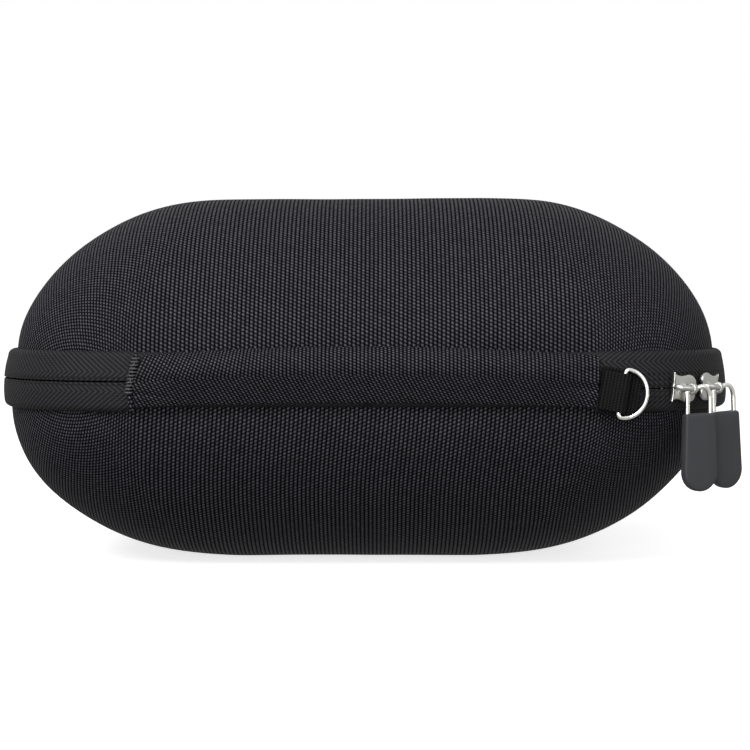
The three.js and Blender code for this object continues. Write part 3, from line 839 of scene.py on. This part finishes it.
def strap_ring(x, margin):
    """A section of the strap: a padded front with a soft ridge at half height, and a flat back."""
    share = x / STRAP_REACH
    end = smoothstep(abs(x), STRAP_REACH - 16, STRAP_REACH)
    centre = STRAP_END_Z + STRAP_BOW * (1 - share**2)
    thickness = STRAP_THICKNESS + (STRAP_END_THICKNESS - STRAP_THICKNESS) * end - 2 * margin
    half = STRAP_HALF_HEIGHT + STRAP_SWELL * (1 - share**2) - (1.4 + margin) * margin
    front = np.sin(np.radians(np.linspace(-90, 90, 33)))
    back = front[::-4][1:-1]
    crest = front - CREASE * (1 - front**2)
    fullness = np.where(crest > 0, UPPER_FULLNESS, LOWER_FULLNESS)
    bulge = thickness * (1 - np.abs(crest) ** fullness) ** 0.8
    gather = END_GATHER * end * np.sin(front * 10 + 1.5 * share) * (1 - front**2)
    folds = uneven(np.full_like(front, x), front * 8, 5.1, *STRAP_FOLDS) * smoothstep(abs(x), 0, 20)
    out = np.concatenate([bulge + gather + folds * (1 - front**2), 0 * back])
    height = np.concatenate([front, back]) * half
    slant = np.clip((height + 0.5) / half, 0, 1) * smoothstep(-x, STRAP_REACH - 22, STRAP_REACH)
    slant = LEFT_SLANT * slant
    points = np.stack([x + slant, STRAP_BACK - margin - out, centre + height], axis=1)
    lean_up = STRAP_SHEAR[0] * smoothstep(-x, 20, 60)
    shear = np.where(height > 0, lean_up, STRAP_SHEAR[1]) * height
    run = np.append(0, np.cumsum(np.hypot(np.diff(height), np.diff(out))))
    cloth = np.stack([(x + slant + shear) * STRAP_CLOTH[0], run * STRAP_CLOTH[1] + centre], axis=1)
    return points, cloth


def strap_half(side, margins, reach):
    """Half of the strap from its middle to one end. Two margins make a hollow cover, one a solid pad."""
    overrun = RIGHT_OVERRUN if side > 0 else 0
    xs = side * (reach + overrun) * np.sin(np.linspace(0, math.pi / 2, 46))
    rings = [strap_ring(x, margins[0]) for x in xs]
    if len(margins) > 1:
        rings += [strap_ring(x, margins[1]) for x in xs[::-1]]
    points, uv = (np.array(part) for part in zip(*rings))
    rows, columns = points.shape[:2]
    faces = grid_faces(rows, columns, True, True) if len(margins) > 1 else capped_faces(rows, columns)
    return Shape().add(points, faces, uv)


def build_strap():
    for name, side in (("left", -1), ("right", 1)):
        shape = strap_half(side, (0, COVER_WALL), STRAP_REACH)
        cover = piece(f"strap_cover_{name}", shape, [WEAVE], ["handle_cover"], 60)
        shape = strap_half(side, (COVER_WALL + 0.15,), PADDING_HI.x)
        padding = piece(f"strap_padding_{name}", shape, [FOAM], ["handle_padding"], 60)
        for part in (cover, padding):
            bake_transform(part)


ROLL_CORNERS = (-0.5, -8.0), (-1.3, -2.4), (0.9, 7.5)  # X and Z, from the strap's end and the seam
ROLL_RADIUS = 0.85
OVERCAST_RADIUS, OVERCAST_THREAD, OVERCAST_LOOPS = 1.08, 0.24, 11


def build_strap_anchor():
    """The rolled edge that ties the strap's left end down, with its row of overcast stitches."""
    corners = np.array(ROLL_CORNERS) + (STRAP_LO.x, SEAM_Z)
    runs = run_along(corners)

    def along(run):
        return np.stack([np.interp(run, runs, column) for column in corners.T], axis=-1)

    middle = -HALF_DEPTH - 0.35 - 0.1
    path = upright(along(np.linspace(0, runs[-1], 30)), middle)
    shape = Shape().add(*tube(path, ROLL_RADIUS, 14))
    sewn = []
    lean = (corners[2] - corners[1]) / (runs[2] - runs[1])
    turn = np.radians(np.linspace(-75, 75, 9))[:, None]
    across = np.array((lean[1], 0, -lean[0])) + 0.25 * np.array((lean[0], 0, lean[1]))
    bow = np.sin(turn) * across + np.cos(turn) * np.array((0, -1, 0))
    for run in np.linspace(runs[1] - 0.6, runs[2] - 0.6, OVERCAST_LOOPS):
        x, z = along(run)
        sewn.append(tube(np.array((x, middle, z)) + OVERCAST_RADIUS * bow, OVERCAST_THREAD, 6))
    shape.add_many(sewn, 1)
    node = "handle_anchor_left"
    fixed_piece("base", "strap_anchor_left", shape, [WEAVE, THREAD], node, 60)


# ---- D-ring ----

RING_PLACE = Matrix.Translation(RING_CENTRE) @ Matrix.Rotation(RING_TILT, 4, "Y")
RING_RADIUS = 6.7
RING_WIRE = 0.62
RING_STRETCH = (0.92, 1.04)  # across and along its bar, from the plain D
RING_FILLET = 1.2
LOOP_HALF_HEIGHT = 5.7
PATCH_HALF_HEIGHT = 6.9
LOOP_THREAD = (0.17, 0.12)  # radius and rise of its stitches


def build_ring():
    """A D of round wire. Its bar stands along local Z."""
    straight = RING_RADIUS - RING_FILLET
    flat = np.vstack([
        arc(RING_FILLET, 0, RING_RADIUS, -90, 90, 48),
        arc(RING_FILLET, straight, RING_FILLET, 90, 180, 8)[1:],
        np.linspace((0, straight), (0, -straight), 13)[1:-1],
        arc(RING_FILLET, -straight, RING_FILLET, 180, 270, 8)[:-1],
    ])
    path = upright(flat * RING_STRETCH)
    shape = Shape().add(*tube(path, RING_WIRE, 16, closed=True)).moved(RING_PLACE)
    fixed_piece("ring", "d_ring_wire", shape, [BRIGHT], "d_ring")


def ribbon(path, thickness, half_height):
    """A strip of webbing: a path in X and Y that carries an upright section with rounded edges."""
    tangent = tangents_along(path)
    side = np.stack([-tangent[:, 1], tangent[:, 0]], axis=1)
    r = thickness / 2
    section = np.vstack([arc(0, half_height - r, r, 0, 180, 8), arc(0, r - half_height, r, 180, 360, 8)])
    points = [[(*(p + n * a), b) for a, b in section] for p, n in zip(path, side)]
    uv = [[(r, b) for _, b in section] for r in run_along(path)]
    return points, capped_faces(len(path), len(section)), uv


def build_ring_loop():
    """Webbing that is folded over the ring's bar and sewn to the band."""
    under = -HALF_DEPTH - RING_CENTRE.y
    patch_y = under - 0.75
    patch = np.linspace((-6.5, patch_y), (5.4, patch_y), 24)
    wrap = arc(0, 0, 1.55, 88, -88, 14)
    strip = np.vstack([
        bezier((-6.0, 1.05), (-4, 1.1), (-2, 1.5), wrap[0], 8)[:-1], wrap,
        bezier(wrap[-1], (-1.6, -1.5), (-2.6, 0.1), (-6.0, 0.35), 12)[1:],
    ])
    shape = Shape()
    shape.add(*ribbon(patch, 0.85, PATCH_HALF_HEIGHT))
    shape.add(*ribbon(strip, 0.72, LOOP_HALF_HEIGHT))
    seat, up, across, out = patch_y - 0.45, (0, 0, 1), (1, 0, 0), (0, -1, 0)
    sewn = [stitch((-4.0, -0.32, z), up, out, 1.2, *LOOP_THREAD) for z in np.arange(-4.4, 4.5, 1.45)]
    sewn += [stitch((4.4, seat, z), up, out, 1.3, *LOOP_THREAD) for z in np.arange(-5.9, 6.0, 1.7)]
    sewn += [
        stitch((x, seat, z), across, out, 1.3, *LOOP_THREAD)
        for x in np.arange(-5.4, 4.6, 1.7) for z in (-6.05, 6.05)
    ]
    shape.add_many(sewn)
    shape.moved(RING_PLACE)
    fixed_piece("base", "d_ring_webbing", shape, [WEBBING], "d_ring_loop", 60)


# ---- Zip sliders and pulls ----


def slider_outline(turn):
    """The plate's outline in X and Z: a straight notched tail and a lobed nose towards turn."""
    half = [
        bezier((-4.6, 0), (-4.25, 0), (-4.1, 1.6), (-4.6, 4.3), 6),
        bezier((-4.6, 4.3), (-3.2, 3.3), (-1.6, 3.2), (0.6, 3.9), 8)[1:],
        bezier((0.6, 3.9), (2.4, 4.6), (4.4, 3.5), (4.6, 1.9), 10)[1:],
        bezier((4.6, 1.9), (4.6, 1.0), (3.6, 0.7), (3.5, 0), 6)[1:],
    ]
    upper = np.vstack(half)
    return np.vstack([upper, upper[-2:0:-1] * (1, -1)]) * (turn, 1)


def drawn_in(outline, distance):
    """An outline drawn in by a small distance."""
    tangent = tangents_along(outline, closed=True)
    inward = np.stack([tangent[:, 1], -tangent[:, 0]], axis=1)
    area = np.sum(outline[:, 0] * np.roll(outline[:, 1], -1) - np.roll(outline[:, 0], -1) * outline[:, 1])
    return outline + inward * distance * (-1 if area > 0 else 1)


def plate(outline_at, levels):
    """A plate in X and Z from levels of (y, inset): its edges are as round as its levels say."""
    rows = [upright(outline_at(inset), y) for y, inset in levels]
    uv = [row[:, [0, 2]] for row in rows]
    return rows, capped_faces(len(rows), len(rows[0])), uv


def lathe_along_x(profile, centre_y, sides=28):
    """Turns a closed profile of (x, radius) about a line along X."""
    turn = 2 * math.pi * np.arange(sides) / sides
    points = [[(x, centre_y + r * math.cos(t), r * math.sin(t)) for t in turn] for x, r in profile]
    uv = [[(x, t) for t in turn] for x, r in profile]
    return points, grid_faces(len(profile), sides, True, True), uv


def slider_shape(turn):
    """A cast slider, drawn about the corner's centre and facing -Y."""
    face, axis = -PLATE_FACE, PULL_AXIS_Y
    back = face + PLATE_THICKNESS
    outline = slider_outline(turn)
    shape = Shape()
    shape.add(*plate(lambda inset: drawn_in(outline, inset), [
        (back, 0.2), (back - 0.15, 0.05), (back - 0.3, 0), (face + 0.4, 0),
        (face + 0.22, 0.05), (face + 0.07, 0.16), (face, 0.36),
    ]))
    inner = -CORNER_RADIUS + BACK_PLATE_INSET
    shape.add(*plate(lambda inset: drawn_in(outline * (0.92, 0.8), inset), [
        (inner + 1.0, 0.25), (inner + 0.8, 0.05), (inner + 0.2, 0.05), (inner, 0.25),
    ]))
    post = np.array([(2.6 * turn, y, 0) for y in np.linspace(inner + 0.4, back + 0.3, 8)])
    shape.add(*tube(post, 0.34, 10))

    start, end = BARREL_MIDDLE - 0.7, BARREL_MIDDLE + 0.7
    barrel = np.vstack([
        [(start, 1.05)], arc(start + 0.35, 1.35, 0.35, 180, 90, 4), arc(end - 0.35, 1.35, 0.35, 90, 0, 4),
        [(end, 1.05)],
    ])
    shape.add(*lathe_along_x(barrel, axis))
    for tip in BRIDGE_TIPS:
        crown = axis - 0.7
        strut = bezier((tip, face + 0.4), (tip, axis), (tip / 2, crown), (BARREL_MIDDLE, crown), 14)
        shape.add(*tube(np.column_stack([strut, np.zeros(len(strut))]), BRIDGE_RADIUS, 14))
    return shape


def pull_path():
    """The pull's wire: a short leg, the bar on the swing axis, an arch and a long leg."""
    left, right = PULL_OFFSET - WIRE_HALF_WIDTH, PULL_OFFSET + WIRE_HALF_WIDTH
    foot = -11.4
    flat = np.vstack([
        np.linspace((left, foot), (left, -1.3), 8),
        arc(left + 1.2, -1.2, 1.2, 180, 90, 7),
        np.array([(1.4, 0.0), (2.4, 0.0)]),
        bezier((3.3, 0.1), (5.0, 0.8), (right, 0.7), (right, -3.9), 14),
        np.linspace((right, -4.6), (right, foot), 8),
    ])
    return upright(flat)


def tab_outline(inset):
    """A tab with a flat top and a round end, drawn in evenly from its edge."""
    half, top, end = TAB_HALF_WIDTH - inset, TAB_TOP - inset, TAB_TOP - TAB_LENGTH + TAB_HALF_WIDTH
    corner = max(TAB_CORNER - inset, 0.08)
    narrow = half - TAB_HALF_WIDTH + TAB_TOP_HALF_WIDTH
    sides = np.linspace(top - corner - 0.4, end, 9)
    right = np.vstack([
        arc(narrow - corner, top - corner, corner, 90, 0, 5),
        np.stack([np.interp(sides, (end, top), (half, narrow)), sides], axis=1),
        arc(0, end, half, 0, -90, 20)[1:],
    ])
    left = right[-2::-1] * (-1, 1)
    return np.vstack([right, left]) + (PULL_OFFSET, 0)


def tab_shape():
    """Soft edges, and faces that crown slightly towards the middle."""
    half, edge = TAB_THICKNESS / 2, 0.7
    levels = [
        (half - 0.12 - edge * (1 - math.sin(turn)), edge * (1 - math.cos(turn)))
        for turn in np.radians(np.linspace(0, 90, 7))
    ]
    levels += [(half - 0.06, 1.6), (half - 0.02, 2.8), (half, 4.2)]
    front = [(-y, inset) for y, inset in levels[::-1]]
    return Shape().add(*plate(tab_outline, front + levels))


def build_slider(name, turn):
    axis = joint_place(f"pull_{name}_swing")
    heading = math.atan2(axis.x - SLIDER_CENTRE.x, SLIDER_CENTRE.y - axis.y)
    facing = Matrix.Rotation(heading, 4, "Z")
    lean = Matrix.Rotation(math.radians(SLIDER_LEAN), 4, "Y")
    body = slider_shape(turn).moved(Matrix.Translation(SLIDER_CENTRE) @ facing @ lean)
    slider, pull = f"{name}_slider", f"{name}_pull"
    fixed_piece(slider, f"{slider}_casting", body, [SATIN], f"slider_{name}", 40)
    twist = Matrix.Rotation(-math.radians(PULL_TWISTS[name]), 4, "Z")
    tilt = Matrix.Rotation(-math.radians(PULL_TILTS[name]), 4, "Y")
    middle = Matrix.Translation((BARREL_MIDDLE, 0, 0))
    hang = Matrix.Translation(axis) @ facing @ middle @ twist @ tilt @ middle.inverted()
    wire = Shape().add(*tube(pull_path(), WIRE_RADIUS, 16)).moved(hang)
    fixed_piece(pull, f"{pull}_loop", wire, [BRIGHT], f"pull_{name}_wire")
    tab = tab_shape().moved(hang)
    fixed_piece(pull, f"{pull}_grip", tab, [RUBBER], f"pull_{name}_tab", 50)


# ---- Lid pocket ----

NET_CELL = 2.6
NET_SAG = 1.5
NET_YARN = 0.2
GATHER_HEIGHT, GATHER_PITCH = 0.18, 2.4


def pocket_edge():
    """The back edge of the pocket's net, from its right front corner round the back to its left."""
    height = NET_LO.z - SEAM_Z
    inset, level, out, _, _ = (column[:, 0] for column in shell_profile("lid", 1.0))
    reach = np.interp(height, level - LINING_DEPTH[1] * np.sqrt(np.clip(1 - out**2, 0, 1)), inset)
    offset = PROUD["lid"] + LINING_DEPTH[1] * np.interp(height, level, out) + 0.3
    ring = Stations(np.linspace(0.25, 0.75, 121) * PLAN_LENGTH)
    x, y = ring.xy(offset, reach)
    return np.stack([x, y], axis=1)


def build_net():
    """A net of knotted diamonds across the back of the lid, with a piped edge."""
    edge = pocket_edge()
    front = NET_LO.y
    cell = NET_CELL
    count = int(NET_HI.x / cell) + 1
    columns = np.arange(-count, count + 1)
    rows = np.arange(0, int((NET_HI.y - front) / cell) + 1)
    x, y = np.meshgrid(columns * cell, front + rows * cell)
    half = np.interp(y, edge[:61, 1], edge[:61, 0])  # the first half of the edge is the right one
    keep = (np.abs(x) < half) & (y < edge[:, 1].max())
    sag = NET_SAG * np.clip(1 - (x / NET_HI.x) ** 2, 0, 1)
    z = NET_LO.z + 0.4 - sag * np.sin(np.pi * np.clip((y - front) / (NET_HI.y - front), 0, 1))
    points = np.stack([x, y, z], axis=-1)
    strands = []
    for i, j in np.argwhere(keep[:-1]):
        for k in (j - 1, j + 1):
            if (i + j) % 2 == 0 and 0 <= k < len(columns) and keep[i + 1, k]:
                strands.append(tube(np.linspace(points[i, j], points[i + 1, k], 3), NET_YARN, 4))
    shape = Shape().add_many(strands)
    rim = np.column_stack([edge, np.full(len(edge), NET_LO.z + 0.4)])
    shape.add(*tube(rim, 0.55, 8))
    fixed_piece("lid", "lid_net_pocket", shape, [NET], "lid_mesh_pocket", 60)


def build_pocket_hem():
    """The gathered elastic along the pocket's open edge."""
    xs = np.linspace(ELASTIC_LO.x, ELASTIC_HI.x, 320)
    middle = (ELASTIC_LO.y + ELASTIC_HI.y) / 2
    half = (ELASTIC_HI.y - ELASTIC_LO.y) / 2
    section = np.vstack([arc(half - 0.6, 0, 0.6, -90, 90, 6), arc(0.6 - half, 0, 0.6, 90, 270, 6)])
    ripple = GATHER_HEIGHT * np.sin(xs * 2 * math.pi / GATHER_PITCH)
    level = (ELASTIC_LO.z + ELASTIC_HI.z) / 2
    points = [[(x, middle + a, level + b + r) for a, b in section] for x, r in zip(xs, ripple)]
    uv = [[(x, a) for a, _ in section] for x in xs]
    shape = Shape().add(points, capped_faces(len(xs), len(section)), uv)
    fixed_piece("lid", "lid_pocket_hem", shape, [WEBBING], "lid_pocket_elastic", 60)


# ---- Room, light and camera ----

CAMERA_PLACE = (3.1, -645, SEAM_Z + 24.5)
CAMERA_PITCH = -2.34  # degrees
CAMERA_LENS = 91.25
SENSOR = 36
FLOOR_REACH = 6.0  # metres
FLOOR_GLOW = 0.74
AIM = (0, 0, 0.05)  # metres
LIGHTS = (  # name, place in metres, disk size in metres, watts
    ("key", (-0.45, -0.85, 0.9), 0.8, 14),
    ("fill", (0.9, -0.9, 0.5), 0.9, 3),
    ("low_fill", (-0.2, -1.3, 0.12), 0.7, 8),
)


def build_camera():
    data = bpy.data.cameras.new("camera")
    data.lens = CAMERA_LENS
    data.sensor_width = SENSOR
    data.clip_start, data.clip_end = 0.01, 50
    camera = add_object("camera", data)
    camera.location = Vector(CAMERA_PLACE) * MM
    camera.rotation_euler = (math.radians(90 + CAMERA_PITCH), 0, 0)
    bpy.context.scene.camera = camera


def area_light(name, place, size, watts):
    data = bpy.data.lights.new(name, "AREA")
    data.shape = "DISK"
    data.size = size
    data.energy = watts
    light = add_object(name, data)
    light.location = place
    light.rotation_euler = (Vector(AIM) - Vector(place)).to_track_quat("-Z", "Y").to_euler()


def build_world():
    """A white studio as the camera sees it, which lights the object mostly from above."""
    world = bpy.data.worlds.new("studio")
    bpy.context.scene.world = world
    world.use_nodes = True
    tree = world.node_tree
    background = tree.nodes["Background"]
    coordinates = tree.nodes.new("ShaderNodeTexCoord")
    split = tree.nodes.new("ShaderNodeSeparateXYZ")
    tree.links.new(coordinates.outputs["Generated"], split.inputs[0])
    height = Field(tree, split.outputs[2])
    rays = tree.nodes.new("ShaderNodeLightPath")
    camera = Field(tree, rays.outputs["Is Camera Ray"])
    glossy = Field(tree, rays.outputs["Is Glossy Ray"])
    soft = (height * 0.18 + 0.4).math("MAXIMUM", 0.3)
    strength = soft * (glossy * 0.75 + 0.75) * (camera * -1 + 1) + camera * 1.0
    tree.links.new(strength.socket, background.inputs["Strength"])
    background.inputs["Color"].default_value = (1, 1, 1, 1)


def build_floor():
    """A pale floor that catches a soft shadow and doesn't light the object from below."""
    r = FLOOR_REACH
    mesh = bpy.data.meshes.new("floor")
    mesh.from_pydata([(-r, -r, 0), (r, -r, 0), (r, r, 0), (-r, r, 0)], [], [(0, 1, 2, 3)])
    paint = Paint("pale_floor")
    paint.color(paint.cloud(900, 1), (0.86, 0.86, 0.86), (0.88, 0.88, 0.88))
    glow = {"Emission_Color": (1, 1, 1, 1), "Emission_Strength": FLOOR_GLOW}
    mesh.materials.append(paint.finish(Roughness=0.9, **glow))
    floor = add_object("floor", mesh)
    floor.visible_diffuse = False
    floor.visible_glossy = False


def build_studio():
    bpy.context.scene.view_settings.view_transform = "Standard"
    build_world()
    build_floor()
    for light in LIGHTS:
        area_light(*light)
    build_camera()


# ---- Assembly ----

for half in SIDES:
    build_shell(half)
    rim_binding(half)
    zip_tape(half)
    zip_coil(half)
build_spine()
build_strap()
build_strap_anchor()
build_ring()
build_ring_loop()
build_slider("left", 1)
build_slider("right", -1)
build_net()
build_pocket_hem()
build_studio()
